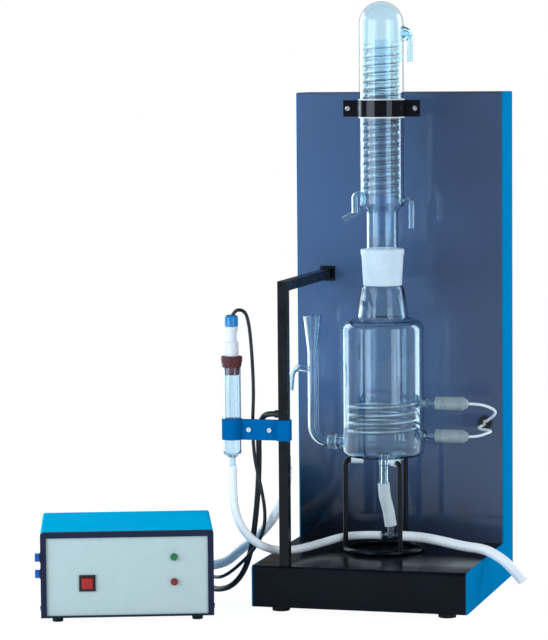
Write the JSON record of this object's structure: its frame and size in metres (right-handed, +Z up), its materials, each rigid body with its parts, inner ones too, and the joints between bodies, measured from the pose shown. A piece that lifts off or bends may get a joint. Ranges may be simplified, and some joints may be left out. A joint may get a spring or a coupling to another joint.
{
  "type": "quartz water still",
  "caption": "Quartz water still with heated boiler, coil condenser, feed funnel and level sensor on a metal stand, cabled to a small controller box.",
  "frame": {"origin": "bottom centre of the stand and controller box together, free hoses and cables left out", "axes": "+Z up, the stand's front with the glassware faces -Y, the feed funnel and the controller box are on its -X side"},
  "size_m": [0.7606, 0.535, 0.9435],
  "materials": {
    "base_black": "gloss",
    "cheek_blue": "gloss",
    "panel_black": "gloss",
    "galvanised": "satin",
    "foot_rubber": "matte",
    "screw_steel": "bright",
    "rod_black": "semi-gloss",
    "clear_silicone": "clear",
    "quartz": "clear, polished",
    "frosted_quartz": "ground",
    "heater_quartz": "clear with resistance wire",
    "white_silicone": "satin",
    "terminal_plastic": "matte",
    "black_rubber": "matte",
    "blue_plastic": "gloss",
    "stopper_rubber": "matte",
    "probe_white": "satin",
    "electrode_steel": "bright",
    "clamp_black": "gloss",
    "panel_grey": "satin",
    "bezel_navy": "satin",
    "button_red": "gloss",
    "black_plastic": "satin",
    "lens_green": "clear",
    "lens_red": "clear",
    "board_green": "semi-gloss"
  },
  "bodies": {
    "still": {"base_plate": "galvanised", "base_cover": "base_black", "cheek_left": "cheek_blue", "cheek_right": "cheek_blue", "cabinet_front": "panel_black", "cabinet_back": "base_black", "rubber_feet": "foot_rubber", "machine_screws": "screw_steel", "tripod": "rod_black", "rest_sleeves": "clear_silicone", "boiler_vessel": "quartz", "boiler_nozzles": "quartz", "heater_coil": "heater_quartz", "ground_socket": "frosted_quartz", "insulator_sleeves": "white_silicone", "heater_lead_upper": "white_silicone", "heater_lead_lower": "white_silicone", "lead_grommet": "black_rubber", "terminal_block": "terminal_plastic", "feed_funnel": "quartz", "feed_coupling": "frosted_quartz", "clamp_liner": "white_silicone", "clamp_band": "clamp_black", "clamp_saddle": "clamp_black", "post": "rod_black", "post_arm": "rod_black", "sensor_chamber": "quartz", "sensor_stopper": "stopper_rubber", "electrodes": "electrode_steel", "sensor_body": "probe_white", "sensor_cap": "blue_plastic", "bracket_front": "cheek_blue", "bracket_back": "cheek_blue", "drain_tee": "quartz", "cable_glands": "black_plastic", "hose_tails": "electrode_steel", "drop_hose": "clear_silicone", "sensor_hose": "clear_silicone", "drain_hose": "clear_silicone", "water_hose": "clear_silicone", "sensor_cable": "black_rubber", "heater_cable": "black_rubber", "controller_tray": "cheek_blue", "controller_cover": "cheek_blue", "controller_bezel": "bezel_navy", "controller_panel": "panel_grey", "reset_housing": "black_plastic", "lamp_green": "lens_green", "lamp_red": "lens_red", "fuse_holders": "black_plastic", "mains_inlet": "black_plastic", "circuit_board": "board_green"},
    "condenser": {"condenser_jacket": "quartz", "condenser_cone": "frosted_quartz", "condenser_hooks": "quartz", "cooling_coil": "quartz", "steam_tube": "quartz"},
    "reset_button": {"reset_button": "button_red"},
    "fuse_cap_upper": {"fuse_cap_upper": "blue_plastic"},
    "fuse_cap_lower": {"fuse_cap_lower": "blue_plastic"}
  },
  "joints": [
    {"name": "condenser_lift", "type": "slide", "parent": "still", "child": "condenser", "axis": [0, 0, 1], "range_m": [0, 0.06]},
    {"name": "reset_press", "type": "slide", "parent": "still", "child": "reset_button", "axis": [-0.3173, 0.9483, 0], "range_m": [0, 0.003], "stiffness_N_per_m": 400, "springref_m": -0.001},
    {"name": "fuse_turn_upper", "type": "hinge", "parent": "still", "child": "fuse_cap_upper", "pos_m": [-0.29407, -0.2286, 0.096], "axis": [0.9483, 0.3173, 0], "range_deg": [0, 90]},
    {"name": "fuse_turn_lower", "type": "hinge", "parent": "still", "child": "fuse_cap_lower", "pos_m": [-0.29407, -0.2286, 0.0705], "axis": [0.9483, 0.3173, 0], "range_deg": [0, 90]}
  ]
}
